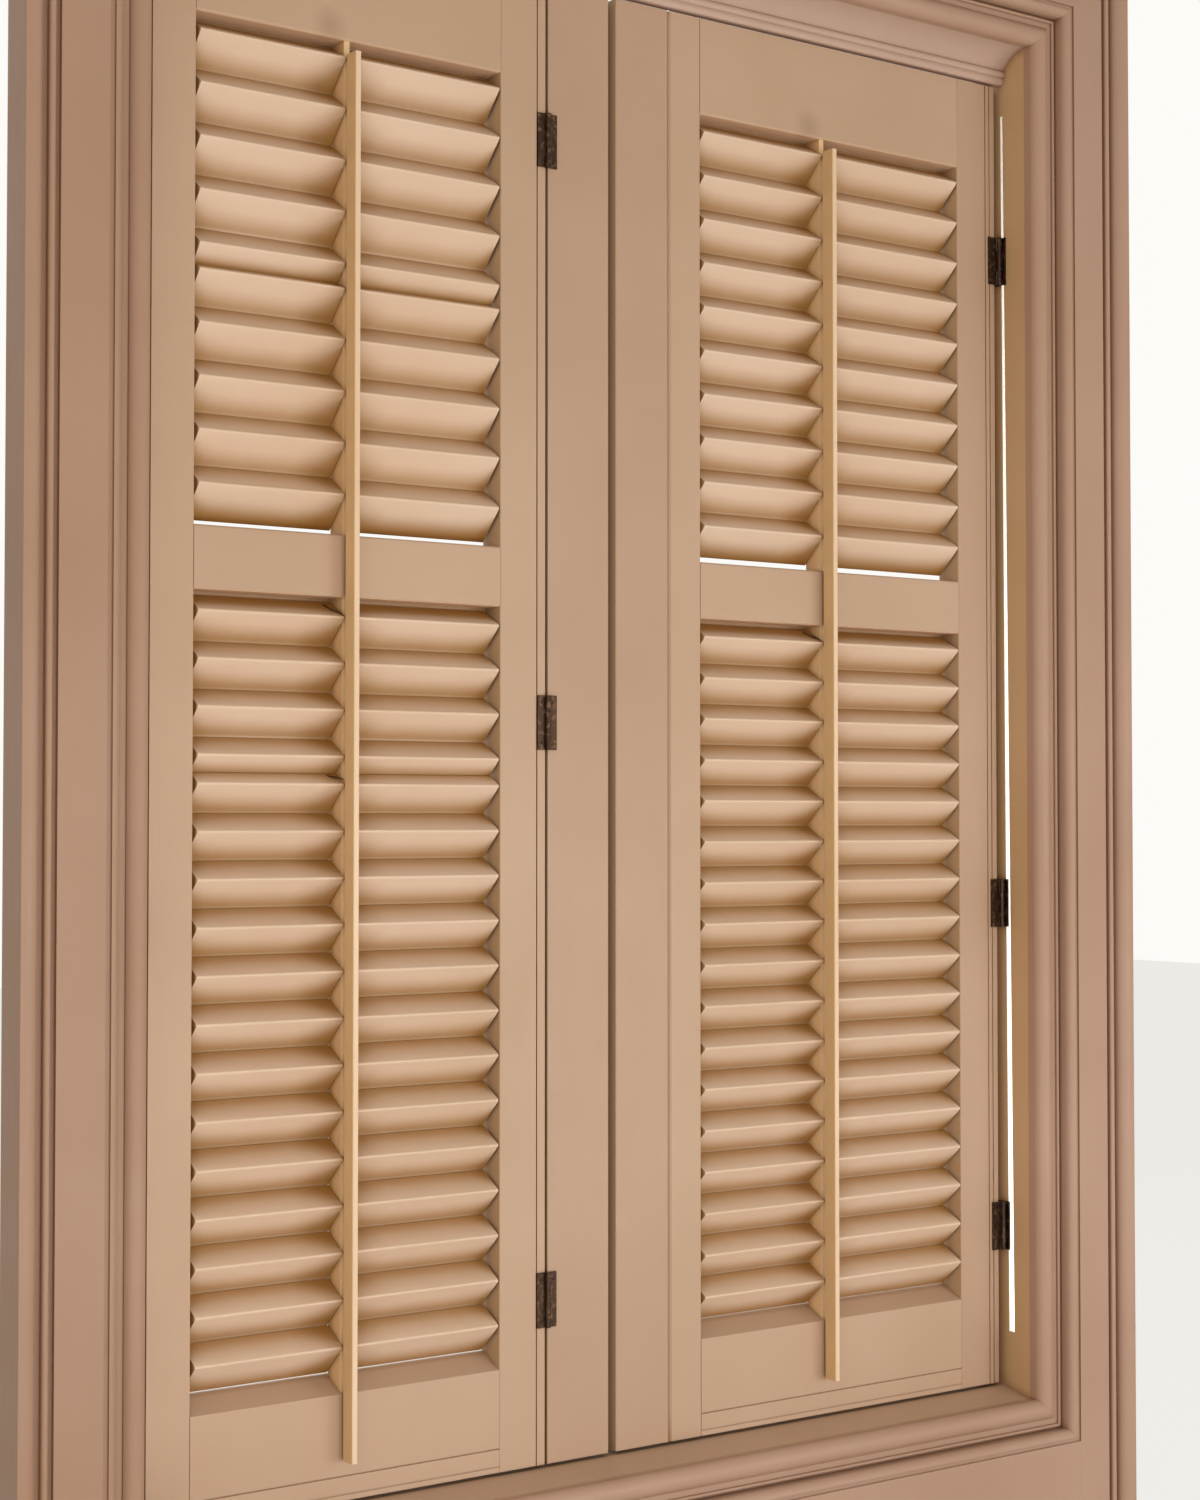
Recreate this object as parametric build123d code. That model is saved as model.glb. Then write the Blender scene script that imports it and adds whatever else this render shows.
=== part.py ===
from build123d import *
import math
import os

# A pair of hinged interior shutters in their moulded window frame.
# Millimetres, +Z up. The room is towards -Y and the wall face is the plane Y = 0.
# X = 0 is the middle of the opening. Z = 0 is the middle of the bottom architrave.

# Frame
OPENING_WIDTH = 1323.0
REVEAL_DEPTH = 65.0           # architrave front edge to the front of the closed leaves
JAMB_THICKNESS = 22.0
JAMB_SLOT_FRONT = (18.5, 5.0)   # light slot through the jamb: its near side in front of the
JAMB_SLOT_BACK = (8.5, 1.0)     # leaves, at the bottom and at the top, and its far side
JAMB_SLOT_ENDS = (70.0, 40.0)   # from the foot and the top of the leaves
SILL_THICKNESS = 20.0
SILL_HOUSING = 8.0            # the sill is let this far into the back of the apron
SILL_FALL = 11.0              # slope of the sill towards the room
SILL_PAST_LEAF = 10.0         # sill edge behind the back of the leaves
HEAD_THICKNESS = 20.0
SOFFIT_RISE = 23.0            # coved soffit rises towards the room
HEAD_STRIP_HEIGHT = 20.0      # beaded strip over the leaves
HEAD_STRIP_DEPTH = 14.0

# Architrave section, from its inner edge outwards
ARCH_EDGE = 18.0              # thickness where the roll meets the sunk line
ARCH_ROLL = 27.0              # wide roll beside the opening
ARCH_ROLL_START = 12.0        # thickness at its inner edge and at its crown
ARCH_ROLL_CROWN = 24.0
ARCH_SUNK = 16.5              # thickness in the sunk line beside it
ARCH_SUNK_WIDTH = 8.0
ARCH_BEAD = 5.0
ARCH_BEAD_RISE = 4.0
ARCH_FILLET = 1.5             # narrow line between the bead and the ovolo
ARCH_OVOLO = 11.0             # quarter round up to the flat band
ARCH_QUIRK = 6.0              # shallow sunk line between it and the band
ARCH_QUIRK_DEPTH = 2.5
ARCH_FLAT = 55.0
ARCH_FACE = 39.0              # thickness of the flat band
ARCH_GROOVE = 6.0             # wide sunk lines each side of the small bead
ARCH_GROOVE_DEPTH = 5.0
ARCH_SMALL_BEAD = 8.0
ARCH_SMALL_BEAD_RISE = 7.5
ARCH_BACK_BEAD = 20.0
ARCH_BACK_BAND = 3.0
ARCH_PROUD = 49.0             # thickness at the outer edge of the back bead
APRON_FLAT = 170.0            # flat band under the opening

# Leaves
LEAF_HEIGHT = 1800.0
LEAF_THICKNESS = 38.0
HEAD_GAP = 3.0
SILL_GAP = 4.0
JAMB_GAP = 12.0
FOLD_GAP = 4.0                # between the left leaf and its flap
MEETING_GAP = 11.0            # between the flap and the right leaf's strip
LEFT_SHARE = 0.4933           # left leaf and flap, as a share of both leaves
OUTER_STILE = 70.5
FOLD_STILE = 65.0             # left leaf, beside the flap
NARROW_STILE = 50.0           # right leaf, beside the strip
FLAP_WIDTH = 91.0
STRIP_WIDTH = 83.0
TOP_RAIL = 123.0
MID_RAIL = 72.0
MID_RAIL_SHARE = 0.5728       # height of its underside as a share of the leaf
BOTTOM_RAIL = 121.0
RAIL_LIP = 8.0                # light stop behind the louvres under a rail
RAIL_LIP_THICKNESS = 6.0
BEVEL_GAP = 1.0               # bottom rail's sloped top to the last louvre
RAIL_ARRIS = 3.0
SCRIBE_HEIGHT = 28.0          # line scribed along the bottom rail
SCRIBE_WIDTH = 1.6
SCRIBE_DEPTH = 1.5
OUTER_BEADS = (9.0, 17.0)     # lines worked on the hinged edges, from the edge
FOLD_BEADS = (12.0,)
STILE_ARRIS = 1.5
MEETING_BEVEL = 3.0           # V joint between the right leaf and its strip

# Louvres: places of their front edges from the rails
TOP_EDGE_LEFT = 21.0          # under the top rail
TOP_EDGE_RIGHT = 23.0
UPPER_LAST_EDGE = 46.0        # over the middle rail
LOWER_FIRST_EDGE = 23.0       # under the middle rail
UPPER_COUNT = 10
LOWER_COUNT = 17
LEFT_UPPER_NARROW = 5         # place of the narrow louvre, counted from the top
LEFT_LOWER_NARROW = 4
UPPER_NARROW_STEP = 29.0
LOWER_NARROW_STEP = 32.0
LOUVRE_DEPTH = 38.0           # front edge to the back corner, full louvre
LOUVRE_PROUD = 4.5            # front edge stands in front of the leaf
LOUVRE_DROP = 0.655           # share of the step below that the lower face drops
LOUVRE_RISE = 0.385           # share of the step above that the upper face rises
NARROW_DROP = 0.79            # the same shares at a narrow step
NARROW_RISE = 0.24
DEPTH_SHARE = 0.72            # most depth for a step, as a share of it
UPPER_BACK = 4.0              # upper back corner lies this much nearer the room
LOUVRE_EDGE_RADIUS = 2.0
LOUVRE_BACK_RADIUS = 0.5
LOUVRE_END_GAP = 4.0
LOUVRE_RAIL_GAP = 4.0
AXIS_BEHIND_EDGE = 20.0
AXIS_BELOW_EDGE = 9.0
PIVOT_RADIUS = 2.5
PIVOT_INTO_STILE = 10.0
PIVOT_CLEARANCE = 0.06
LINK_PIN_RADIUS = 1.0
SLOT_GAP = 0.7                # louvre to each side of the centre stile
SLOT_FLARE = 3.0              # the slot's mouth is rounded by this

# Thin centre stiles behind the tilt rods
CENTRE_STILE = 7.5
CENTRE_SET_BACK = 3.0         # behind the front of the leaf
CENTRE_STOP_GAP = 0.5         # to the light stop

# Tilt rods
ROD_WIDTH = 7.5
ROD_DEPTH = 20.5
ROD_EDGE_RADIUS = 1.8
ROD_STANDOFF = 2.8            # back of the rod to the link pins
ROD_TOP_BELOW_RAIL = 18.0
ROD_FOOT_ABOVE_LEAF = 46.5
LEFT_ROD_OFFSET = -9.0        # from the middle of the louvres
RIGHT_ROD_OFFSET = -19.0
EYE_THICKNESS = 2.0
EYE_RADIUS = 3.0
EYE_CLEARANCE = 0.4

# Hinges
HINGE_HEIGHT = 66.0
HINGE_PLATE = 2.0
HINGE_LEAF_WIDTH = 12.0
HINGE_JAMB_FRONT = 7.0        # its plate reaches this far in front of the pin
HINGE_JAMB_BACK = 15.0        # and this far behind it
BARREL_RADIUS = 3.6
BARREL_STANDOFF = 0.3         # barrel to the front of the leaf
PIN_RADIUS = 1.8
PIN_CLEARANCE = 0.06
KNUCKLE_GAP = 0.4
JAMB_HINGE_HEIGHTS = (215.0, 660.0)   # lower two, above the foot of the leaf
JAMB_HINGE_TOP = 245.0                # upper one, below the top of the leaf
FOLD_HINGE_HEIGHTS = (197.0, 893.0)
FOLD_HINGE_TOP = 196.0

# Places worked out from the sizes above
ARCH_INNER = ARCH_ROLL + ARCH_SUNK_WIDTH + ARCH_BEAD + ARCH_FILLET + ARCH_OVOLO + ARCH_QUIRK
ARCH_OUTER = 2 * ARCH_GROOVE + ARCH_SMALL_BEAD + ARCH_BACK_BEAD + ARCH_BACK_BAND
ARCH_WIDTH = ARCH_INNER + ARCH_FLAT + ARCH_OUTER
APRON_HEIGHT = ARCH_INNER + APRON_FLAT
OPEN_LEFT = -OPENING_WIDTH / 2
OPEN_RIGHT = OPENING_WIDTH / 2
OPEN_BOTTOM = APRON_HEIGHT / 2
LEAF_FRONT = REVEAL_DEPTH - ARCH_EDGE
LEAF_BACK = LEAF_FRONT + LEAF_THICKNESS
JAMB_BACK = LEAF_BACK + SILL_PAST_LEAF
LEAF_FOOT = OPEN_BOTTOM + SILL_FALL + SILL_GAP
LEAF_TOP = LEAF_FOOT + LEAF_HEIGHT
STRIP_FOOT = LEAF_TOP + HEAD_GAP
OPEN_TOP = STRIP_FOOT + HEAD_STRIP_HEIGHT + SOFFIT_RISE
BOTH_LEAVES = OPENING_WIDTH - 2 * JAMB_GAP - MEETING_GAP
LEFT_FIELD = BOTH_LEAVES * LEFT_SHARE - OUTER_STILE - FOLD_STILE - FOLD_GAP - FLAP_WIDTH
RIGHT_FIELD = BOTH_LEAVES * (1 - LEFT_SHARE) - OUTER_STILE - NARROW_STILE - STRIP_WIDTH
LEFT_LEAF_X = OPEN_LEFT + JAMB_GAP
LEFT_FIELD_X = LEFT_LEAF_X + OUTER_STILE
LEFT_LEAF_END = LEFT_FIELD_X + LEFT_FIELD + FOLD_STILE
FLAP_X = LEFT_LEAF_END + FOLD_GAP
RIGHT_LEAF_END = OPEN_RIGHT - JAMB_GAP
RIGHT_FIELD_X = RIGHT_LEAF_END - OUTER_STILE - RIGHT_FIELD
RIGHT_LEAF_X = RIGHT_FIELD_X - NARROW_STILE
STRIP_X = RIGHT_LEAF_X - STRIP_WIDTH
MID_BOTTOM_Z = LEAF_FOOT + LEAF_HEIGHT * MID_RAIL_SHARE
MID_TOP_Z = MID_BOTTOM_Z + MID_RAIL
TOP_RAIL_Z = LEAF_TOP - TOP_RAIL
RAIL_EDGE_Z = LEAF_FOOT + BOTTOM_RAIL
HINGE_AXIS_Y = LEAF_FRONT - BARREL_RADIUS - BARREL_STANDOFF
EDGE_Y = LEAF_FRONT - LOUVRE_PROUD
AXIS_Y = EDGE_Y + AXIS_BEHIND_EDGE
CENTRE_FRONT = LEAF_FRONT + CENTRE_SET_BACK
CENTRE_BACK = LEAF_BACK - RAIL_LIP_THICKNESS - CENTRE_STOP_GAP


def block(x0, x1, y0, y1, z0, z1):
    """A plain board between two corners."""
    middle = ((x0 + x1) / 2, (y0 + y1) / 2, (z0 + z1) / 2)
    return Pos(*middle) * Box(x1 - x0, y1 - y0, z1 - z0)


def prism_x(points, x0, x1):
    """A closed outline of (y, z) points, run along X."""
    face = Plane.YZ * make_face(Polyline(*points, close=True))
    return Pos(x0, 0, 0) * extrude(face, x1 - x0, dir=(1, 0, 0))


def bead_lines(u, v, width, rise):
    """A half round bead on straight sides, standing on a line of the section."""
    side = v + rise - width / 2
    return [
        Line((u, v), (u, side)),
        ThreePointArc((u, side), (u + width / 2, v + rise), (u + width, side)),
        Line((u + width, side), (u + width, v)),
    ]


def arch_face(flat, back_band=True):
    """Architrave section: across is away from the opening, up is towards the room."""
    sunk = ARCH_SUNK
    u1 = ARCH_ROLL
    u2 = u1 + ARCH_SUNK_WIDTH
    u3 = u2 + ARCH_BEAD
    u4 = u3 + ARCH_FILLET
    u5 = u4 + ARCH_OVOLO
    u6 = u5 + ARCH_QUIRK
    u7 = u6 + flat
    quirk = ARCH_FACE - ARCH_QUIRK_DEPTH
    lines = [
        Line((0, 0), (0, ARCH_ROLL_START)),
        ThreePointArc((0, ARCH_ROLL_START), (u1 * 0.46, ARCH_ROLL_CROWN), (u1, ARCH_EDGE)),
        Polyline((u1, ARCH_EDGE), (u1, sunk), (u2, sunk)),
        *bead_lines(u2, sunk, ARCH_BEAD, ARCH_BEAD_RISE),
        Polyline((u3, sunk), (u4, sunk), (u4, ARCH_FACE - ARCH_OVOLO)),
        RadiusArc((u4, ARCH_FACE - ARCH_OVOLO), (u5, ARCH_FACE), ARCH_OVOLO),
        Polyline((u5, ARCH_FACE), (u5, quirk), (u6, quirk), (u6, ARCH_FACE), (u7, ARCH_FACE)),
    ]
    if back_band:
        low = ARCH_FACE - ARCH_GROOVE_DEPTH
        u8 = u7 + ARCH_GROOVE
        u9 = u8 + ARCH_SMALL_BEAD
        u10 = u9 + ARCH_GROOVE
        u11 = u10 + ARCH_BACK_BEAD
        u12 = u11 + ARCH_BACK_BAND
        crown = (u10 + ARCH_BACK_BEAD * 0.35, low + (ARCH_PROUD - low) * 0.82)
        lines += [
            Polyline((u7, ARCH_FACE), (u7, low), (u8, low)),
            *bead_lines(u8, low, ARCH_SMALL_BEAD, ARCH_SMALL_BEAD_RISE),
            Line((u9, low), (u10, low)),
            ThreePointArc((u10, low), crown, (u11, ARCH_PROUD)),
            Polyline((u11, ARCH_PROUD), (u12, ARCH_PROUD), (u12, 0), (0, 0)),
        ]
    else:
        lines += [Polyline((u7, ARCH_FACE), (u7, 0), (0, 0))]
    return make_face(Wire(Curve() + lines).edges())


def region(points):
    """A wedge of space over an outline of (x, z) points, to trim an architrave."""
    face = Plane.XZ * make_face(Polyline(*points, close=True))
    return extrude(face, 2 * ARCH_PROUD, dir=(0, -1, 0))


def side_architrave(side):
    """Left (-1) or right (+1) architrave, mitred at the head and running down past the apron."""
    inner = side * OPENING_WIDTH / 2
    foot = OPEN_BOTTOM - APRON_HEIGHT
    top = OPEN_TOP + ARCH_WIDTH
    plane = Plane(origin=(inner, 0, foot), x_dir=(side, 0, 0), z_dir=(0, 0, -side))
    solid = extrude(plane * arch_face(ARCH_FLAT), top - foot, dir=(0, 0, 1))
    outer = inner + side * ARCH_WIDTH
    seam = inner + side * ARCH_INNER
    keep = region([(inner, OPEN_BOTTOM), (inner, OPEN_TOP), (outer, top), (outer, foot), (seam, foot),
                   (seam, OPEN_BOTTOM - ARCH_INNER)])
    return solid & keep


def head_architrave():
    left, right = OPEN_LEFT - ARCH_WIDTH, OPEN_RIGHT + ARCH_WIDTH
    plane = Plane(origin=(left, 0, OPEN_TOP), x_dir=(0, 0, 1), z_dir=(1, 0, 0))
    solid = extrude(plane * arch_face(ARCH_FLAT), right - left, dir=(1, 0, 0))
    top = OPEN_TOP + ARCH_WIDTH
    keep = region([(OPEN_LEFT, OPEN_TOP), (OPEN_RIGHT, OPEN_TOP), (right, top), (left, top)])
    return solid & keep


def apron():
    """Bottom architrave: mitred inner members over a plain apron."""
    left, right = OPEN_LEFT - ARCH_INNER, OPEN_RIGHT + ARCH_INNER
    foot = OPEN_BOTTOM - APRON_HEIGHT
    plane = Plane(origin=(left, 0, OPEN_BOTTOM), x_dir=(0, 0, -1), z_dir=(-1, 0, 0))
    solid = extrude(plane * arch_face(APRON_FLAT, back_band=False), right - left, dir=(1, 0, 0))
    shoulder = OPEN_BOTTOM - ARCH_INNER
    keep = region([(OPEN_LEFT, OPEN_BOTTOM), (OPEN_RIGHT, OPEN_BOTTOM), (right, shoulder), (right, foot),
                   (left, foot), (left, shoulder)])
    reach = OPENING_WIDTH / 2 + JAMB_THICKNESS
    housing = block(-reach, reach, -SILL_HOUSING, 1, OPEN_BOTTOM - SILL_THICKNESS, OPEN_BOTTOM + 1)
    return (solid & keep) - housing


def jamb(side):
    """A board as deep as the sill, with the slot that lets daylight past the hinged edge."""
    inner = side * OPENING_WIDTH / 2
    x0, x1 = sorted((inner, inner + side * JAMB_THICKNESS))
    board = block(x0, x1, 0, JAMB_BACK, OPEN_BOTTOM - SILL_THICKNESS, OPEN_TOP + HEAD_THICKNESS)
    low, high = LEAF_FOOT + JAMB_SLOT_ENDS[0], LEAF_TOP - JAMB_SLOT_ENDS[1]
    slot = [(LEAF_FRONT - JAMB_SLOT_FRONT[0], low), (LEAF_FRONT - JAMB_SLOT_BACK[0], low),
            (LEAF_FRONT - JAMB_SLOT_BACK[1], high), (LEAF_FRONT - JAMB_SLOT_FRONT[1], high)]
    return board - prism_x(slot, x0 - 1, x1 + 1)


def sill_board():
    back = LEAF_BACK + SILL_PAST_LEAF
    flat = OPEN_BOTTOM + SILL_FALL
    under = OPEN_BOTTOM - SILL_THICKNESS
    outline = [(-SILL_HOUSING, under), (-SILL_HOUSING, OPEN_BOTTOM), (0, OPEN_BOTTOM), (LEAF_FRONT, flat),
               (back, flat), (back, under)]
    return prism_x(outline, OPEN_LEFT, OPEN_RIGHT)


def head_board():
    """Coved soffit, with the two beads of the strip over the leaves."""
    front_z = OPEN_TOP
    back_z = STRIP_FOOT + HEAD_STRIP_HEIGHT
    strip_front = LEAF_FRONT - HEAD_STRIP_DEPTH / 2
    strip_back = LEAF_FRONT + HEAD_STRIP_DEPTH / 2
    top = OPEN_TOP + HEAD_THICKNESS
    bead = HEAD_STRIP_HEIGHT / 2
    sag = SOFFIT_RISE * 0.22
    middle = ((strip_front) / 2, (front_z + back_z) / 2 + sag)
    lines = [
        Line((0, top), (0, front_z)),
        ThreePointArc((0, front_z), middle, (strip_front, back_z)),
        ThreePointArc((strip_front, back_z), (strip_front - bead * 0.3, back_z - bead / 2),
                      (strip_front, back_z - bead)),
        ThreePointArc((strip_front, back_z - bead), (strip_front - bead * 0.3 + 2, back_z - bead * 1.5),
                      (strip_front + 2, STRIP_FOOT)),
        Polyline((strip_front + 2, STRIP_FOOT), (strip_back, STRIP_FOOT), (strip_back, top), (0, top)),
    ]
    face = Plane.YZ * make_face(Wire(Curve() + lines).edges())
    return Pos(OPEN_LEFT, 0, 0) * extrude(face, OPENING_WIDTH, dir=(1, 0, 0))


class Louvre:
    """One louvre: its front edge, the steps above and below it, and whether it meets a rail."""

    def __init__(self, edge, rise, drop, depth_up, depth_down):
        self.edge = edge
        self.rise = rise
        self.drop = drop
        self.depth_up = depth_up
        self.depth_down = depth_down

    def corners(self):
        front = (EDGE_Y, self.edge)
        upper = (EDGE_Y + self.depth_up, self.edge + self.rise)
        lower = (EDGE_Y + self.depth_down, self.edge - self.drop)
        return front, upper, lower

    def link(self):
        """Centre of the rounded front edge, where the link pin lies."""
        front, upper, lower = self.corners()
        up = math.atan2(upper[1] - front[1], upper[0] - front[0])
        down = math.atan2(lower[1] - front[1], lower[0] - front[0])
        middle = (up + down) / 2
        reach = LOUVRE_EDGE_RADIUS / math.sin((up - down) / 2)
        return front[0] + reach * math.cos(middle), front[1] + reach * math.sin(middle)

    def axis(self):
        return AXIS_Y, self.edge - AXIS_BELOW_EDGE


def full_depth(step):
    """Depth of a louvre face for the step that it closes; narrow steps get a slimmer louvre."""
    return min(LOUVRE_DEPTH, step * DEPTH_SHARE)


def bank(edges, rail_above, rail_below):
    """The louvres of one opening, worked out from the heights of their front edges."""
    steps = [upper - lower for upper, lower in zip(edges, edges[1:])]
    usual = max(steps)
    louvres = []
    for i, edge in enumerate(edges):
        above = steps[i - 1] if i else usual
        below = steps[i] if i < len(steps) else (edge - rail_below if rail_below is not None else usual)
        rise = above * (LOUVRE_RISE if above > usual / 2 + 5 else NARROW_RISE)
        if i == 0:
            rise = rail_above - edge - LOUVRE_RAIL_GAP
        drop = below * (LOUVRE_DROP if below > usual / 2 + 5 else NARROW_DROP)
        louvres.append(Louvre(edge, rise, drop, full_depth(above) - UPPER_BACK, full_depth(below)))
    return louvres


def spaced(first, last, count, narrow_at=None, narrow_step=0.0):
    """Heights from first down to last, evenly stepped apart from one narrow step."""
    wide = count - 1 if narrow_at is None else count - 2
    step = (first - last - (0 if narrow_at is None else narrow_step)) / wide
    heights = [first]
    for i in range(1, count):
        heights.append(heights[-1] - (narrow_step if i == narrow_at else step))
    return heights


def louvre_banks(top_edge, upper_narrow=None, lower_narrow=None):
    top = TOP_RAIL_Z - top_edge
    upper_last = MID_TOP_Z + UPPER_LAST_EDGE
    lower_first = MID_BOTTOM_Z - LOWER_FIRST_EDGE
    upper = spaced(top, upper_last, UPPER_COUNT, upper_narrow, UPPER_NARROW_STEP)
    lower = spaced(lower_first, RAIL_EDGE_Z, LOWER_COUNT + 1, lower_narrow, LOWER_NARROW_STEP)
    return (bank(upper, TOP_RAIL_Z, None), bank(lower[:-1], MID_BOTTOM_Z, RAIL_EDGE_Z))


def slot_cutter(centre, low, high):
    """The slot for the centre stile, with a rounded mouth at the louvre's front edge."""
    half = CENTRE_STILE / 2 + SLOT_GAP
    front, flare = EDGE_Y - 1, SLOT_FLARE
    mouth = EDGE_Y + flare
    back = EDGE_Y + LOUVRE_DEPTH + 5
    wide = half + flare + 1
    lines = [
        Polyline((-half, mouth), (-half, back), (half, back), (half, mouth)),
        ThreePointArc((half, mouth), (half + flare * 0.3, mouth - flare * 0.7), (half + flare, EDGE_Y)),
        Polyline((half + flare, EDGE_Y), (wide, front), (-wide, front), (-half - flare, EDGE_Y)),
        ThreePointArc((-half - flare, EDGE_Y), (-half - flare * 0.3, mouth - flare * 0.7), (-half, mouth)),
    ]
    face = make_face(Wire(Curve() + lines).edges())
    return Pos(centre, 0, low) * extrude(face, high - low, dir=(0, 0, 1))


def louvre_solid(louvre, x0, x1, centre):
    """A louvre in two halves each side of the centre stile, on one pivot, with its link pin at the rod."""
    face = make_face(Polyline(*louvre.corners(), close=True))
    points = face.vertices().sort_by(Axis.X)
    face = fillet(points[0:1], LOUVRE_EDGE_RADIUS)
    inner = EDGE_Y + min(louvre.depth_up, louvre.depth_down) - LOUVRE_BACK_RADIUS
    face = fillet([v for v in face.vertices() if v.X > inner], LOUVRE_BACK_RADIUS)
    blade = Pos(x0 + LOUVRE_END_GAP, 0, 0) * extrude(Plane.YZ * face, x1 - x0 - 2 * LOUVRE_END_GAP, dir=(1, 0, 0))
    blade -= slot_cutter(centre, louvre.edge - louvre.drop - 2, louvre.edge + louvre.rise + 2)
    length = x1 - x0 + 2 * PIVOT_INTO_STILE
    y, z = louvre.axis()
    blade += Pos((x0 + x1) / 2, y, z) * Rot(0, 90, 0) * Cylinder(PIVOT_RADIUS, length)
    y, z = louvre.link()
    width = CENTRE_STILE + 2 * (SLOT_GAP + SLOT_FLARE) + 4
    return blade + Pos(centre, y, z) * Rot(0, 90, 0) * Cylinder(LINK_PIN_RADIUS, width)


def tilt_rod(louvres, centre_x):
    """A rod with an eye on its back for each louvre's link pin."""
    back = min(louvre.link()[0] for louvre in louvres) - ROD_STANDOFF
    top = TOP_RAIL_Z - ROD_TOP_BELOW_RAIL
    foot = LEAF_FOOT + ROD_FOOT_ABOVE_LEAF
    rod = block(centre_x - ROD_WIDTH / 2, centre_x + ROD_WIDTH / 2, back - ROD_DEPTH, back, foot, top)
    front_edges = rod.edges().filter_by(Axis.Z).sort_by(Axis.Y)[0:2]
    rod = fillet(front_edges, ROD_EDGE_RADIUS)
    for louvre in louvres:
        y, z = louvre.link()
        eye = Pos(y, z) * Circle(EYE_RADIUS)
        eye += Pos((y + back) / 2 - 0.5, z) * Rectangle(y - back + 1, 2 * EYE_RADIUS)
        eye -= Pos(y, z) * Circle(LINK_PIN_RADIUS + EYE_CLEARANCE)
        solid = extrude(Plane.YZ * eye, EYE_THICKNESS, dir=(1, 0, 0))
        rod += Pos(centre_x - EYE_THICKNESS / 2, 0, 0) * solid
    return rod


def stile(x0, x1, louvres, field_side, bead_side=0, beads=(), bevel_side=0):
    """An upright, bored for the louvre pivots, with its worked edges."""
    solid = block(x0, x1, LEAF_FRONT, LEAF_BACK, LEAF_FOOT, LEAF_TOP)
    inner = x1 if field_side > 0 else x0
    arris = [e for e in solid.edges().filter_by(Axis.Z)
             if abs(e.center().X - inner) < 0.1 and abs(e.center().Y - LEAF_FRONT) < 0.1]
    solid = fillet(arris, STILE_ARRIS)
    for place in beads:
        edge = x1 if bead_side > 0 else x0
        line = edge - bead_side * place
        solid -= block(line - SCRIBE_WIDTH / 2, line + SCRIBE_WIDTH / 2, LEAF_FRONT - 1,
                       LEAF_FRONT + 2 * SCRIBE_DEPTH, LEAF_FOOT - 1, LEAF_TOP + 1)
    if bevel_side:
        edge = x1 if bevel_side > 0 else x0
        corner = [e for e in solid.edges().filter_by(Axis.Z)
                  if abs(e.center().X - edge) < 0.1 and abs(e.center().Y - LEAF_FRONT) < 0.1]
        solid = chamfer(corner, MEETING_BEVEL)
    radius = PIVOT_RADIUS + PIVOT_CLEARANCE
    depth = PIVOT_INTO_STILE + 1
    middle = inner - field_side * depth / 2
    for louvre in louvres:
        y, z = louvre.axis()
        solid -= Pos(middle, y, z) * Rot(0, 90, 0) * Cylinder(radius, depth)
    return solid


def centre_stile(centre, z0, z1, louvres, on_bevel=False):
    """The thin upright behind a tilt rod, bored for the louvre pivots."""
    foot = [(CENTRE_BACK, z0), (CENTRE_FRONT, z0)]
    if on_bevel:
        foot = [(CENTRE_BACK, bevel_height(CENTRE_BACK)), (CENTRE_FRONT, bevel_height(CENTRE_FRONT))]
    outline = foot + [(CENTRE_FRONT, z1), (CENTRE_BACK, z1)]
    solid = prism_x(outline, centre - CENTRE_STILE / 2, centre + CENTRE_STILE / 2)
    for louvre in louvres:
        y, z = louvre.axis()
        solid -= Pos(centre, y, z) * Rot(0, 90, 0) * Cylinder(PIVOT_RADIUS + PIVOT_CLEARANCE, 2 * CENTRE_STILE)
    return solid


def plain_rail(x0, x1, z0, z1, edges_up=True, edges_down=True):
    """A rail with a light stop hanging behind the louvres under it."""
    solid = block(x0, x1, LEAF_FRONT, LEAF_BACK, z0, z1)
    solid += block(x0, x1, LEAF_BACK - RAIL_LIP_THICKNESS, LEAF_BACK, z0 - RAIL_LIP, z0 + 1)
    front = [e for e in solid.edges().filter_by(Axis.X) if abs(e.center().Y - LEAF_FRONT) < 0.1]
    chosen = [e for e in front if (edges_up if e.center().Z > (z0 + z1) / 2 else edges_down)]
    return fillet(chosen, RAIL_ARRIS) if chosen else solid


def bevel_height(y):
    """Height of the bottom rail's sloped top, which ends just under the last louvre."""
    last = louvre_banks(TOP_EDGE_RIGHT)[1][-1]
    depth, top = last.depth_down - LOUVRE_PROUD, last.edge - last.drop - BEVEL_GAP
    return RAIL_EDGE_Z + (top - RAIL_EDGE_Z) * (y - LEAF_FRONT) / depth


def bottom_rail(x0, x1):
    """Its top slopes up towards the window, so the last louvre closes on it."""
    knee = EDGE_Y + full_depth(LOUVRE_DEPTH / DEPTH_SHARE)
    top = bevel_height(knee)
    outline = [(LEAF_FRONT, LEAF_FOOT), (LEAF_FRONT, RAIL_EDGE_Z), (knee, top), (LEAF_BACK, top),
               (LEAF_BACK, LEAF_FOOT)]
    solid = prism_x(outline, x0, x1)
    for height, deep in ((SCRIBE_HEIGHT, SCRIBE_DEPTH), (SCRIBE_HEIGHT / 4, SCRIBE_DEPTH * 0.6)):
        z = LEAF_FOOT + height
        solid -= block(x0 - 1, x1 + 1, LEAF_FRONT - 1, LEAF_FRONT + deep, z - SCRIBE_WIDTH / 2, z + SCRIBE_WIDTH / 2)
    return solid


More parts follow.
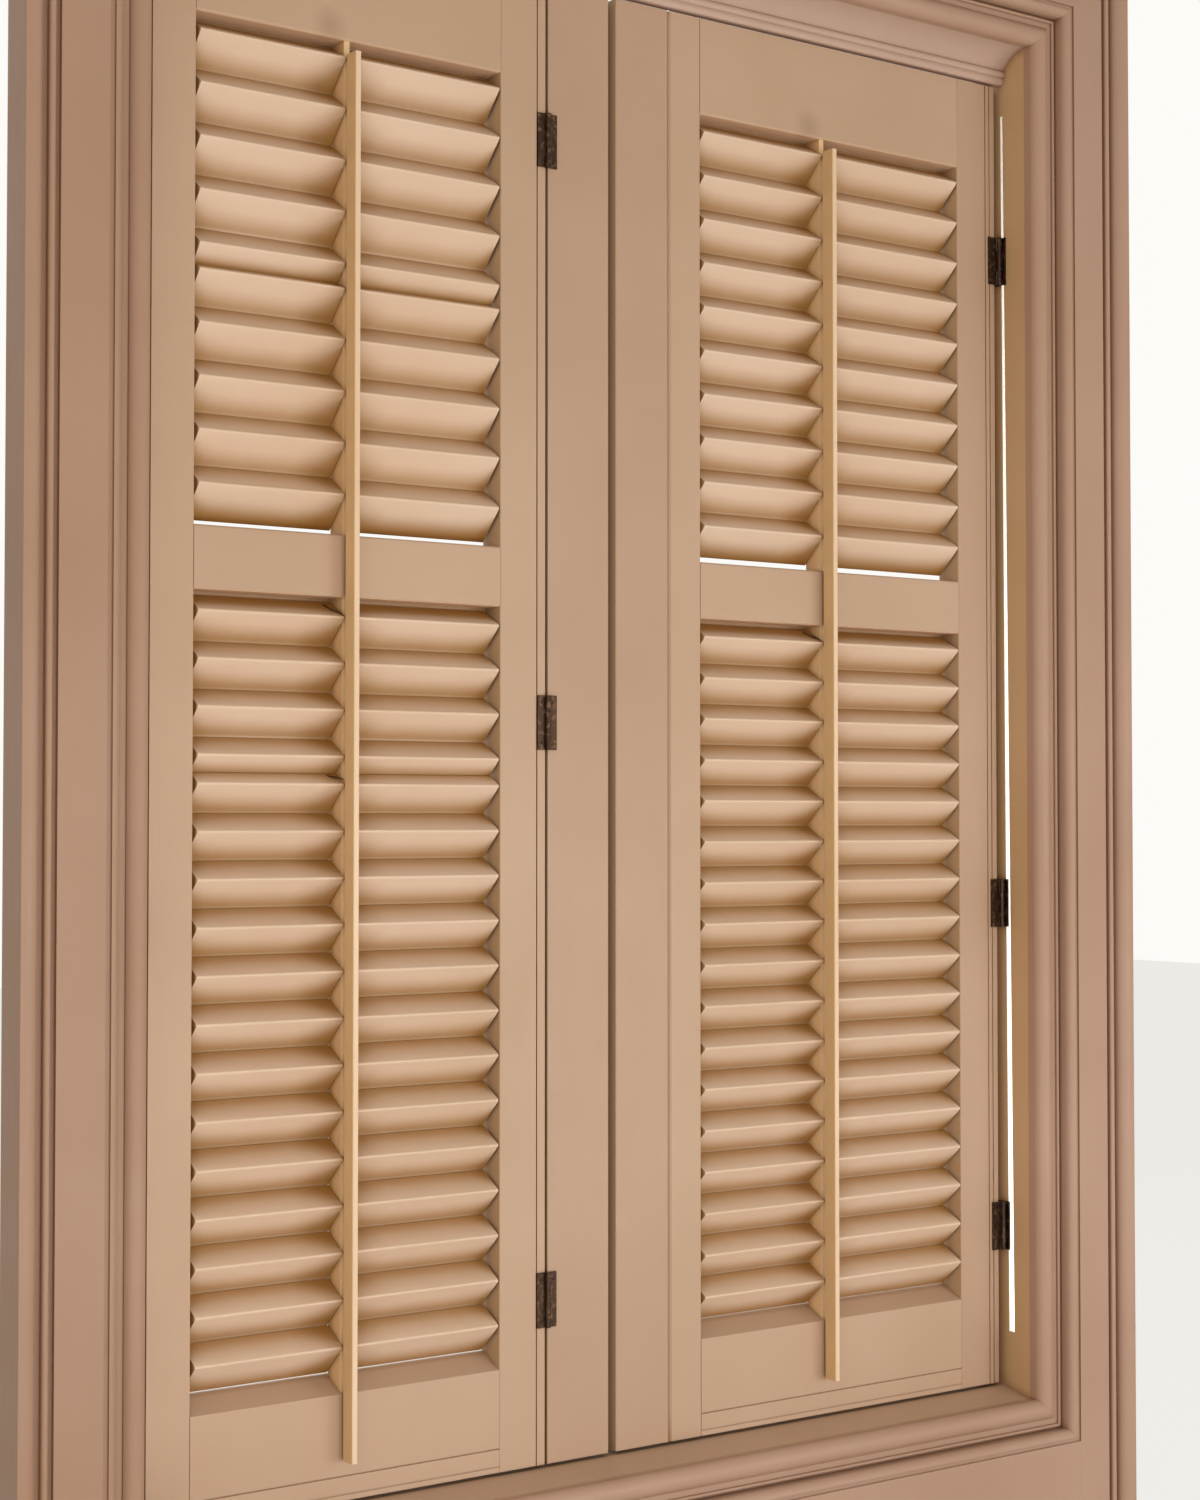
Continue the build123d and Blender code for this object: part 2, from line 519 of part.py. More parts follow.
def barrel(x, y, z, parts):
    """Knuckles of one hinge: parts are (low, high) shares of its height."""
    solid = None
    for low, high in parts:
        z0 = z + low * HINGE_HEIGHT + (KNUCKLE_GAP / 2 if low > 0 else 0)
        z1 = z + high * HINGE_HEIGHT - (KNUCKLE_GAP / 2 if high < 1 else 0)
        piece = Pos(x, y, (z0 + z1) / 2) * Cylinder(BARREL_RADIUS, z1 - z0)
        solid = piece if solid is None else solid + piece
    return solid


OUTER_KNUCKLES = ((0.0, 0.3), (0.7, 1.0))
MIDDLE_KNUCKLE = ((0.3, 0.7),)


def hinge_fixed(x, side, z, on_jamb):
    """The half with the pin and two knuckles. side is the way to its plate in X."""
    y = HINGE_AXIS_Y
    z0 = z - HINGE_HEIGHT / 2
    solid = barrel(x, y, z0, OUTER_KNUCKLES)
    solid += Pos(x, y, z) * Cylinder(PIN_RADIUS, HINGE_HEIGHT)
    for low, high in OUTER_KNUCKLES:
        a = z0 + low * HINGE_HEIGHT + (KNUCKLE_GAP / 2 if low > 0 else 0)
        b = z0 + high * HINGE_HEIGHT - (KNUCKLE_GAP / 2 if high < 1 else 0)
        if on_jamb:
            face = side * OPENING_WIDTH / 2
            xs = sorted((x, face))
            solid += block(xs[0], xs[1], y - HINGE_PLATE / 2, y + HINGE_PLATE / 2, a, b)
        else:
            xs = sorted((x, x + side * (FOLD_GAP / 2 + HINGE_LEAF_WIDTH / 2)))
            solid += block(xs[0], xs[1], LEAF_FRONT - HINGE_PLATE, LEAF_FRONT, a, b)
    if on_jamb:
        face = side * OPENING_WIDTH / 2
        xs = sorted((face, face - side * HINGE_PLATE))
        plate = block(xs[0], xs[1], y - HINGE_JAMB_FRONT, y + HINGE_JAMB_BACK, z0, z0 + HINGE_HEIGHT)
    else:
        near = x + side * (BARREL_RADIUS + 0.5)
        xs = sorted((near, x + side * (FOLD_GAP / 2 + HINGE_LEAF_WIDTH)))
        plate = block(xs[0], xs[1], LEAF_FRONT - HINGE_PLATE, LEAF_FRONT, z0, z0 + HINGE_HEIGHT)
    return solid + plate


def hinge_moving(x, side, z, gap):
    """The half with one knuckle, on the front of the leaf. side is the way to its plate in X."""
    y = HINGE_AXIS_Y
    z0 = z - HINGE_HEIGHT / 2
    low, high = MIDDLE_KNUCKLE[0]
    a = z0 + low * HINGE_HEIGHT + KNUCKLE_GAP / 2
    b = z0 + high * HINGE_HEIGHT - KNUCKLE_GAP / 2
    solid = barrel(x, y, z0, MIDDLE_KNUCKLE)
    xs = sorted((x, x + side * (gap + HINGE_LEAF_WIDTH / 2)))
    solid += block(xs[0], xs[1], LEAF_FRONT - HINGE_PLATE, LEAF_FRONT, a, b)
    near = x + side * (BARREL_RADIUS + 0.5)
    xs = sorted((near, x + side * (gap + HINGE_LEAF_WIDTH)))
    solid += block(xs[0], xs[1], LEAF_FRONT - HINGE_PLATE, LEAF_FRONT, z0, z0 + HINGE_HEIGHT)
    solid -= Pos(x, y, z) * Cylinder(PIN_RADIUS + PIN_CLEARANCE, HINGE_HEIGHT)
    return solid


def group(solids):
    return Compound(children=list(solids))


def save(name, shape):
    shape.label = name
    export_step(shape, os.path.join("parts", name + ".step"))


def frame_pieces():
    yield "left_jamb", jamb(-1)
    yield "right_jamb", jamb(1)
    yield "head_board", head_board()
    yield "sill_board", sill_board()
    yield "left_architrave", side_architrave(-1)
    yield "right_architrave", side_architrave(1)
    yield "head_architrave", head_architrave()
    yield "apron_architrave", apron()


def rails(prefix, x0, x1):
    yield prefix + "_top_rail", plain_rail(x0, x1, TOP_RAIL_Z, LEAF_TOP, edges_up=False)
    yield prefix + "_mid_rail", plain_rail(x0, x1, MID_BOTTOM_Z, MID_TOP_Z)
    yield prefix + "_bottom_rail", bottom_rail(x0, x1)


def centre_stiles(prefix, centre, upper, lower):
    yield prefix + "_upper_centre_stile", centre_stile(centre, MID_TOP_Z, TOP_RAIL_Z, upper)
    yield prefix + "_lower_centre_stile", centre_stile(centre, RAIL_EDGE_Z, MID_BOTTOM_Z, lower, on_bevel=True)


def left_leaf_pieces():
    upper, lower = louvre_banks(TOP_EDGE_LEFT, LEFT_UPPER_NARROW, LEFT_LOWER_NARROW)
    louvres = upper + lower
    x0, x1 = LEFT_FIELD_X, LEFT_FIELD_X + LEFT_FIELD
    rod_x = (x0 + x1) / 2 + LEFT_ROD_OFFSET
    yield "left_outer_stile", stile(LEFT_LEAF_X, x0, louvres, 1, -1, OUTER_BEADS)
    yield "left_inner_stile", stile(x1, LEFT_LEAF_END, louvres, -1, 1, FOLD_BEADS)
    yield from rails("left", x0, x1)
    yield from centre_stiles("left", rod_x, upper, lower)
    for number, louvre in enumerate(louvres, 1):
        yield f"left_louvre_{number:02d}", louvre_solid(louvre, x0, x1, rod_x)
    yield "left_tilt_rod", tilt_rod(louvres, rod_x)
    yield "left_flap", flap()


def right_leaf_pieces():
    upper, lower = louvre_banks(TOP_EDGE_RIGHT)
    louvres = upper + lower
    x0, x1 = RIGHT_FIELD_X, RIGHT_FIELD_X + RIGHT_FIELD
    rod_x = (x0 + x1) / 2 + RIGHT_ROD_OFFSET
    carrier = stile(RIGHT_LEAF_X, x0, [], 1, bevel_side=-1)
    yield "right_stile_with_louvres", carrier + [louvre_solid(louvre, x0, x1, rod_x) for louvre in louvres]
    yield "right_outer_stile", stile(x1, RIGHT_LEAF_END, louvres, -1, 1, OUTER_BEADS)
    yield from rails("right", x0, x1)
    yield from centre_stiles("right", rod_x, upper, lower)
    yield "right_tilt_rod", tilt_rod(louvres, rod_x)
    yield "right_meeting_strip", meeting_strip()


def flap():
    """The blank leaf that folds on the left leaf."""
    return stile(FLAP_X, FLAP_X + FLAP_WIDTH, [], 1)


def meeting_strip():
    """The blank strip fixed to the right leaf, with a V joint between them."""
    return stile(STRIP_X, RIGHT_LEAF_X, [], -1, bevel_side=1)


def hinge_pieces():
    left_axis = OPEN_LEFT + JAMB_GAP / 2
    right_axis = OPEN_RIGHT - JAMB_GAP / 2
    fold_axis = LEFT_LEAF_END + FOLD_GAP / 2
    jamb_z = [LEAF_FOOT + h for h in JAMB_HINGE_HEIGHTS] + [LEAF_TOP - JAMB_HINGE_TOP]
    fold_z = [LEAF_FOOT + h for h in FOLD_HINGE_HEIGHTS] + [LEAF_TOP - FOLD_HINGE_TOP]
    gap = JAMB_GAP / 2
    yield "left_jamb_hinges", group(hinge_fixed(left_axis, -1, z, True) for z in jamb_z)
    yield "left_leaf_hinges", group(hinge_moving(left_axis, 1, z, gap) for z in jamb_z)
    yield "right_jamb_hinges", group(hinge_fixed(right_axis, 1, z, True) for z in jamb_z)
    yield "right_leaf_hinges", group(hinge_moving(right_axis, -1, z, gap) for z in jamb_z)
    yield "fold_hinges_leaf_half", group(hinge_fixed(fold_axis, -1, z, False) for z in fold_z)
    yield "fold_hinges_flap_half", group(hinge_moving(fold_axis, 1, z, FOLD_GAP / 2) for z in fold_z)


def main():
    os.makedirs("parts", exist_ok=True)
    for pieces in (frame_pieces(), left_leaf_pieces(), right_leaf_pieces(), hinge_pieces()):
        for name, shape in pieces:
            save(name, shape)


main()
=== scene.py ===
import math

import bmesh
import bpy
from mathutils import Matrix, Quaternion, Vector


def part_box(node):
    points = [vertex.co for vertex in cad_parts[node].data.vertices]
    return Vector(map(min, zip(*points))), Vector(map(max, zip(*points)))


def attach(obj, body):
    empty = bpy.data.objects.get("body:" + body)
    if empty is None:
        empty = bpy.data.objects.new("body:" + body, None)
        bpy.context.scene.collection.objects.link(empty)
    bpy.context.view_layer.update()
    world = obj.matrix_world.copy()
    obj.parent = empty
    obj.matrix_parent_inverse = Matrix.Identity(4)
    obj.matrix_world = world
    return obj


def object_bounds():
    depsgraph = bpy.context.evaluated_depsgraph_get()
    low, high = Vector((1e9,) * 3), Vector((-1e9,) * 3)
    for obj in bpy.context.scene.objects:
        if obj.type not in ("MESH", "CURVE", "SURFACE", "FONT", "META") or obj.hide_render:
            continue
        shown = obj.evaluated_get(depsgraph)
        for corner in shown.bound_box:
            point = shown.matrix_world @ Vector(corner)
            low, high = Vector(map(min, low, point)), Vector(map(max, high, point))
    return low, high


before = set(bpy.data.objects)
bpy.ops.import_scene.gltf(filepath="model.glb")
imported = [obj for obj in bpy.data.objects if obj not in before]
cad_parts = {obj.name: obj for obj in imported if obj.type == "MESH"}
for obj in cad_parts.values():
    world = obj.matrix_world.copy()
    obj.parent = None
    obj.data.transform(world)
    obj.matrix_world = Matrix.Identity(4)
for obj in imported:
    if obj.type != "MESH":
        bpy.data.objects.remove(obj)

cad_low, cad_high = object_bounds()

# Lengths are in metres
leaf_low, leaf_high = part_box("left_outer_stile")
LEAF_FRONT = leaf_low[1]
LEAF_FOOT = leaf_low[2]
LEAF_TOP = leaf_high[2]

# Light slots of the jambs: their walls lie in a space in front of the leaves, between their foot and top,
# and inside a thin skin on both faces of the jamb
SLOT_NEAR = 0.0195
SLOT_FAR = 0.0005
SLOT_FROM_FOOT = 0.069
SLOT_FROM_TOP = 0.039
JAMB_SKIN = 0.0003

# Daylight behind the slots: a thin lamp outside each jamb
DAYLIGHT_BEFORE_LEAF = 0.0083
DAYLIGHT_GAP = 0.0015
DAYLIGHT_WIDTH = 0.007
DAYLIGHT_LEAN = -0.0062
DAYLIGHT_POWER = 0.30

# Hinges: half their height, their middles above the foot of the leaves, and their screws
HINGE_HALF = 0.033
JAMB_HINGES = (0.215, 0.660, 1.555)
FOLD_HINGES = (0.197, 0.893, 1.604)
PLATE_THICKNESS = 0.002
SCREW_FROM_PLATE_END = 0.008
SCREW_FROM_JAMB = 0.0165
SCREW_FROM_FOLD = 0.0085
SCREW_BEHIND_LEAF_FRONT = 0.005
SCREW_RADIUS = 0.0022
SCREW_SLOT_HALF = 0.00025
SCREW_TURN = 0.7
SCREW_STEPS = 8

# Rings of a screw's dome: share of the radius, and height
SCREW_DOME = ((1.0, 0.0), (0.96, 0.00022), (0.72, 0.00042), (0.38, 0.00052))

# Staples: three wires of falling length beside the rod, and the rise of the louvre under them
WIRE_RADIUS = 0.0007
WIRE_SHARES = (1.0, 0.8, 0.62)
WIRE_LENGTH = 0.022
NARROW_WIRE_LENGTH = 0.017
STAPLE_BESIDE_ROD = 0.0095
LOUVRE_DEPTH = 0.034
RAIL_LIP = 0.008
LOUVRE_BELOW_LIP = 0.023
LOUVRE_RISE = 0.019
NARROW_RISE = 0.0072

# Linear colours. A finish is its colour, a deeper one for clouds and strokes, and the painted shade it
# takes in hollows
CASING_SHADE = (0.265, 0.138, 0.080, 1)
CASING = ((0.455, 0.288, 0.203, 1), (0.415, 0.255, 0.172, 1), CASING_SHADE)
# Painted shade: the left architrave takes a darker copy of the casing paint
LEFT_CASING_SHADED = ((0.405, 0.250, 0.167, 1), (0.370, 0.220, 0.140, 1), CASING_SHADE)
# Painted light: the head board takes a lighter copy of the casing paint
HEAD_LIT = ((0.520, 0.365, 0.280, 1), (0.475, 0.325, 0.240, 1), CASING_SHADE)
# Painted light: the jambs take a lighter, yellower paint that stands for daylight falling on the reveals
REVEAL_DAYLIT = ((0.600, 0.400, 0.225, 1), (0.550, 0.355, 0.185, 1), (0.300, 0.155, 0.060, 1))
LEAF_SHADE = (0.285, 0.155, 0.058, 1)
LEAF = ((0.520, 0.352, 0.238, 1), (0.480, 0.318, 0.208, 1), LEAF_SHADE)
# Painted shade: the flap, the meeting strip and the right outer stile take a darker copy of the leaf paint
BOARD_SHADED = ((0.486, 0.323, 0.219, 1), (0.448, 0.290, 0.190, 1), LEAF_SHADE)
# Painted light: the centre stiles take a much lighter, yellower copy of the leaf paint
CENTRE_LIT = ((0.800, 0.550, 0.300, 1), (0.750, 0.500, 0.260, 1), (0.420, 0.240, 0.090, 1))
# Painted light: the louvres take a lighter copy of the leaf paint
LOUVRE_LIT = ((0.735, 0.550, 0.408, 1), (0.690, 0.500, 0.350, 1), (0.350, 0.172, 0.038, 1))
# Painted light: the rods take a lighter copy of the leaf paint
ROD_LIT = ((0.810, 0.605, 0.410, 1), (0.740, 0.525, 0.330, 1), (0.350, 0.185, 0.066, 1))
# Painted shade on faces of stiles and boards that look along X
LEAF_SIDE_SHADE = (0.500, 0.338, 0.200, 1)
# Painted light on faces of rails that look down
LEAF_UNDER_LIGHT = (0.700, 0.460, 0.290, 1)
# Painted shade on faces of rods that look along X
ROD_SIDE_SHADE = (0.700, 0.475, 0.242, 1)
# Painted light: white for the walls of the light slots, so that they show as daylight
SLOT_DAYLIGHT_WHITE = (0.920, 0.900, 0.850, 1)
DARK_SPOT = (0.270, 0.160, 0.090, 1)
BRONZE = (0.042, 0.022, 0.012, 1)
BRONZE_WORN = (0.180, 0.105, 0.058, 1)
FLOOR = (0.86, 0.85, 0.83, 1)
FLOOR_PALE = (0.97, 0.955, 0.92, 1)
AMBIENT = (1, 0.935, 0.86, 1)
BACKDROP = (1, 0.985, 0.95, 1)

# Axes that a brush follows, and how fine its strokes are across and along it
ALONG_X = 0
ALONG_Z = 2
ACROSS_BRUSH = 90.0
ALONG_BRUSH = 3.0

# How far from a surface its hollows are felt, and how open a place is where the painted shade starts and
# ends
NARROW_HOLLOW = {"reach": 0.012}
LOUVRE_HOLLOW = {"reach": 0.06, "open_at": 0.74, "shut_at": 0.34}

# Dark spots on the top rails above the rods
SPOT_BESIDE_ROD = 0.024
SPOT_ABOVE_RAIL = 0.022
SPOT_RADIUS = 0.026

# Camera, from the middle of the opening and from the front and the foot of the leaves
CAMERA_PLACE = (-1.8169, LEAF_FRONT - 2.5047, LEAF_FOOT + 0.775)
CAMERA_TILT = math.radians(91.604)
CAMERA_TURN = math.radians(-35.548)

# The floor lies just below the object and reaches this far to each side
FLOOR_DROP = 0.001
FLOOR_REACH = 12


class Nodes:
    """Adds shader nodes and joins them."""

    def __init__(self, owner):
        owner.use_nodes = True
        self.tree = owner.node_tree
        self.tree.nodes.clear()

    def add(self, kind, inputs, **settings):
        node = self.tree.nodes.new(kind)
        for key, value in settings.items():
            setattr(node, key, value)
        for key, value in inputs.items():
            socket = node.inputs[key]
            if isinstance(value, bpy.types.NodeSocket):
                self.tree.links.new(value, socket)
            else:
                socket.default_value = value
        return node

    def calc(self, operation, *values):
        return self.add("ShaderNodeMath", dict(enumerate(values)), operation=operation).outputs[0]

    def mix(self, factor, a, b):
        return self.add("ShaderNodeMix", {0: factor, 6: a, 7: b}, data_type="RGBA").outputs[2]

    def mix_shaders(self, factor, a, b):
        return self.add("ShaderNodeMixShader", {0: factor, 1: a, 2: b}).outputs["Shader"]

    def noise(self, where, scale, detail):
        node = self.add("ShaderNodeTexNoise", {"Vector": where, "Scale": scale, "Detail": detail})
        return node.outputs["Fac"]

    def parts(self, vector):
        return self.add("ShaderNodeSeparateXYZ", {"Vector": vector}).outputs

    def span(self, value, low, high, out_low=0.0, out_high=1.0):
        node = self.add("ShaderNodeMapRange", {"Value": value, "From Min": low, "From Max": high,
                                               "To Min": out_low, "To Max": out_high})
        return node.outputs["Result"]

    def rounded(self, radius):
        return self.add("ShaderNodeBevel", {"Radius": radius}, samples=4).outputs["Normal"]

    def surface(self, shader):
        self.add("ShaderNodeOutputMaterial", {"Surface": shader})


def paint(name, finish, along, reach=0.02, open_at=0.8, shut_at=0.25, roughness=0.42, grain=0.14,
          marks=(), beyond=None, lined=None, side=None, under=None):
    """Brushed satin paint.

    marks are the middles of dark spots. beyond gives a place along X and the finish to its left.
    lined gives the low and high corner, on the right side, of the space whose walls are painted white:
    painted light that, with the daylight lamps, shows as daylight in the slot.
    side and under are the colours of the faces that look along X and down: painted shade on the sides and
    painted light underneath.
    """
    material = bpy.data.materials.new(name)
    n = Nodes(material)
    coordinates = n.add("ShaderNodeTexCoord", {}).outputs
    where = coordinates["Object"]
    facing = n.parts(coordinates["Normal"])
    stretch = [ALONG_BRUSH if axis == along else ACROSS_BRUSH for axis in range(3)]
    brushed = n.add("ShaderNodeMapping", {"Vector": where, "Scale": stretch}).outputs["Vector"]
    strokes = n.noise(brushed, scale=6.0, detail=4.0)
    cloud = n.noise(where, scale=3.2, detail=3.0)
    peel = n.noise(where, scale=420.0, detail=2.0)
    openness = n.add("ShaderNodeAmbientOcclusion", {"Distance": reach}, samples=8, only_local=False)
    hollow = openness.outputs["AO"]

    def coat(colour, deep, shade):
        base = n.mix(n.span(cloud, 0.35, 0.68), colour, deep)
        base = n.mix(n.span(strokes, 0.42, 0.66, 0.0, 0.12), base, deep)
        # Painted shade: the colour turns to the shade colour where the surface is enclosed, in grooves,
        # hollows and between louvres
        return n.mix(n.span(hollow, shut_at, open_at, 1.0, 0.0), base, shade)

    base = coat(*finish)
    if beyond is not None:
        place, other = beyond
        to_the_left = n.span(n.parts(where)["X"], place - 0.0002, place, 1.0, 0.0)
        base = n.mix(to_the_left, base, coat(*other))
    # Painted shade on faces that look along X, where they are open
    if side is not None:
        sideways_shade = n.span(n.calc("ABSOLUTE", facing["X"]), 0.6, 0.9)
        base = n.mix(n.calc("MULTIPLY", sideways_shade, n.span(hollow, 0.1, 0.6)), base, side)
    # Painted light on faces that look down
    if under is not None:
        base = n.mix(n.span(facing["Z"], -0.9, -0.6, 1.0, 0.0), base, under)
    # Darker round spots fading out from each mark
    for spot in marks:
        away = n.add("ShaderNodeVectorMath", {0: where, 1: spot}, operation="DISTANCE").outputs["Value"]
        base = n.mix(n.span(away, 0.0, SPOT_RADIUS, 0.42, 0.0), base, DARK_SPOT)
    # Painted light: the walls of the slot turn white to show as daylight, brightened further by the
    # daylight lamps
    if lined is not None:
        place = n.parts(where)
        inside = 1.0
        for value, low, high in zip((n.calc("ABSOLUTE", place["X"]), place["Y"], place["Z"]), *lined):
            within = n.calc("COMPARE", value, (low + high) / 2, (high - low) / 2)
            inside = n.calc("MULTIPLY", inside, within)
        base = n.mix(inside, base, SLOT_DAYLIGHT_WHITE)
    height = n.calc("ADD", n.span(strokes, 0, 1, 0, 0.7), n.span(peel, 0, 1, 0, 0.3))
    bump = n.add("ShaderNodeBump", {"Strength": grain, "Distance": 0.0005, "Height": height,
                                    "Normal": n.rounded(0.0009)}).outputs["Normal"]
    shader = n.add("ShaderNodeBsdfPrincipled", {
        "Base Color": base, "Roughness": n.span(strokes, 0.3, 0.7, roughness - 0.06, roughness + 0.08),
        "Normal": bump, "IOR": 1.48, "Specular IOR Level": 0.25})
    n.surface(shader.outputs["BSDF"])
    return material


def bronze():
    material = bpy.data.materials.new("aged_bronze")
    n = Nodes(material)
    where = n.add("ShaderNodeTexCoord", {}).outputs["Object"]
    patches = n.noise(where, scale=160.0, detail=5.0)
    grain = n.noise(where, scale=1400.0, detail=2.0)
    bump = n.add("ShaderNodeBump", {"Strength": 0.3, "Distance": 0.0003, "Height": grain,
                                    "Normal": n.rounded(0.0006)}).outputs["Normal"]
    base = n.mix(n.span(patches, 0.52, 0.72), BRONZE, BRONZE_WORN)
    shader = n.add("ShaderNodeBsdfPrincipled", {
        "Base Color": base, "Roughness": n.span(patches, 0.3, 0.7, 0.30, 0.55), "Normal": bump,
        "Metallic": 0.85})
    n.surface(shader.outputs["BSDF"])
    return material


def pale_floor():
    """Diffuse floor that the camera and reflections see paler, with the shadow kept."""
    material = bpy.data.materials.new("pale_floor")
    n = Nodes(material)
    path = n.add("ShaderNodeLightPath", {}).outputs
    seen = n.calc("MAXIMUM", path["Is Camera Ray"], path["Is Glossy Ray"])
    matt = n.add("ShaderNodeBsdfPrincipled", {"Base Color": FLOOR, "Roughness": 0.9}).outputs["BSDF"]
    glow = n.add("ShaderNodeEmission", {"Color": FLOOR_PALE, "Strength": 1.0}).outputs["Emission"]
    n.surface(n.mix_shaders(n.calc("MULTIPLY", seen, 0.78), matt, glow))
    return material


def middle_of(node):
    """Middle of a node along X."""
    low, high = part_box(node)
    return (low[0] + high[0]) / 2


def slot_space():
    """Corners of a space in the right jamb that holds the walls of its light slot and nothing else."""
    low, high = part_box("right_jamb")
    return ((low[0] + JAMB_SKIN, LEAF_FRONT - SLOT_NEAR, LEAF_FOOT + SLOT_FROM_FOOT),
            (high[0] - JAMB_SKIN, LEAF_FRONT - SLOT_FAR, LEAF_TOP - SLOT_FROM_TOP))


def dark_spot_middle(side):
    """Middle of the dark spot on the top rail of one leaf."""
    rail_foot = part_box(f"{side}_top_rail")[0][2]
    return (middle_of(f"{side}_tilt_rod") - SPOT_BESIDE_ROD, LEAF_FRONT, rail_foot + SPOT_ABOVE_RAIL)


def dress(metal):
    """Give each node of the solids its finish: by its whole name, or else by the first word that fits."""
    spots = (dark_spot_middle("left"), dark_spot_middle("right"))
    stile_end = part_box("right_mid_rail")[0][0]
    board = paint("board_paint_upright", BOARD_SHADED, ALONG_Z, side=LEAF_SIDE_SHADE)
    by_name = {
        "right_stile_with_louvres": paint("louvre_and_stile_paint", LOUVRE_LIT, ALONG_X,
                                          beyond=(stile_end, LEAF), **LOUVRE_HOLLOW),
        "left_architrave": paint("casing_paint_left", LEFT_CASING_SHADED, ALONG_Z, **NARROW_HOLLOW),
        "right_architrave": paint("casing_paint_upright", CASING, ALONG_Z, **NARROW_HOLLOW),
        "head_board": paint("head_paint", HEAD_LIT, ALONG_X, grain=0.06, **NARROW_HOLLOW),
        "sill_board": paint("sill_paint", LEAF, ALONG_X, roughness=0.34, grain=0.04),
        "left_flap": board,
        "right_meeting_strip": board,
        "right_outer_stile": board,
    }
    by_word = {
        "hinge": metal,
        "louvre": paint("louvre_paint", LOUVRE_LIT, ALONG_X, **LOUVRE_HOLLOW),
        "rod": paint("rod_paint", ROD_LIT, ALONG_Z, roughness=0.38, side=ROD_SIDE_SHADE),
        "architrave": paint("casing_paint_across", CASING, ALONG_X, **NARROW_HOLLOW),
        "centre_stile": paint("centre_stile_paint", CENTRE_LIT, ALONG_Z, **NARROW_HOLLOW),
        "jamb": paint("reveal_paint_upright", REVEAL_DAYLIT, ALONG_Z, roughness=0.34, lined=slot_space()),
        "rail": paint("leaf_paint_across", LEAF, ALONG_X, marks=spots, under=LEAF_UNDER_LIGHT, **NARROW_HOLLOW),
        "stile": paint("leaf_paint_upright", LEAF, ALONG_Z, side=LEAF_SIDE_SHADE),
    }
    for name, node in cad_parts.items():
        material = by_name.get(name) or next(finish for word, finish in by_word.items() if word in name)
        node.data.materials.clear()
        node.data.materials.append(material)


def put(name, data):
    """Add an object to the scene."""
    obj = bpy.data.objects.new(name, data)
    bpy.context.scene.collection.objects.link(obj)
    return obj


def screw_half(bm, place, side):
    """Half of a slotted, domed screw head, facing -Y or turned by place."""
    rings = []
    for share, height in SCREW_DOME:
        radius = SCREW_RADIUS * share
        ring = []
        for i in range(SCREW_STEPS + 1):
            angle = math.pi * i / SCREW_STEPS
            z = side * (SCREW_SLOT_HALF + (radius - SCREW_SLOT_HALF) * math.sin(angle))
            ring.append(bm.verts.new(place @ Vector((radius * math.cos(angle), -height, z))))
        rings.append(ring)
    for low, high in zip(rings, rings[1:]):
        for i in range(SCREW_STEPS):
            bm.faces.new((low[i], low[i + 1], high[i + 1], high[i]))
        bm.faces.new((low[-1], low[0], high[0], high[-1]))
    bm.faces.new(rings[-1])


def screws(name, body, places, metal):
    """Screw heads at places, each a point and a turn about Z."""
    mesh = bpy.data.meshes.new(name)
    bm = bmesh.new()
    for i, (point, turn) in enumerate(places):
        driven = Matrix.Rotation(SCREW_TURN * i, 4, "Y")
        place = Matrix.Translation(point) @ Matrix.Rotation(turn, 4, "Z") @ driven
        screw_half(bm, place, 1)
        screw_half(bm, place, -1)
    bmesh.ops.recalc_face_normals(bm, faces=bm.faces)
    bm.to_mesh(mesh)
    bm.free()
    mesh.materials.append(metal)
    obj = put(name, mesh)
    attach(obj, body)


def hinge_screws(metal):
    """Two screws in each plate of the nine hinges."""
    left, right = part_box("left_jamb")[1][0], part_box("right_jamb")[0][0]
    fold = (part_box("left_inner_stile")[1][0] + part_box("left_flap")[0][0]) / 2
    end = HINGE_HALF - SCREW_FROM_PLATE_END

    def row(x, y, turn, hinges):
        return [((x, y, LEAF_FOOT + height + shift), turn) for height in hinges for shift in (-end, end)]

    def on_leaf(x, hinges):
        return row(x, LEAF_FRONT - PLATE_THICKNESS, 0.0, hinges)

    def on_jamb(x, turn):
        return row(x, LEAF_FRONT + SCREW_BEHIND_LEAF_FRONT, turn, JAMB_HINGES)

    screws("jamb_hinge_screws", "frame", on_jamb(left + PLATE_THICKNESS, math.pi / 2)
           + on_jamb(right - PLATE_THICKNESS, -math.pi / 2), metal)
    screws("left_leaf_hinge_screws", "left_leaf", on_leaf(left + SCREW_FROM_JAMB, JAMB_HINGES)
           + on_leaf(fold - SCREW_FROM_FOLD, FOLD_HINGES), metal)
    screws("flap_hinge_screws", "left_flap", on_leaf(fold + SCREW_FROM_FOLD, FOLD_HINGES), metal)
    screws("right_leaf_hinge_screws", "right_leaf", on_leaf(right - SCREW_FROM_JAMB, JAMB_HINGES), metal)


def wire_route(length, share):
    """Points of one wire of a staple: across, back from the louvre's front edge, and up from its face."""
    return ((0.0045, 0.001, 0.0008),
            (0.0018, 0.006 + 0.002 * share, 0.0018),
            (-0.0045 * share, 0.6 * length * share, 0.0020),
            (-0.0105 * share, length * share, 0.0023))


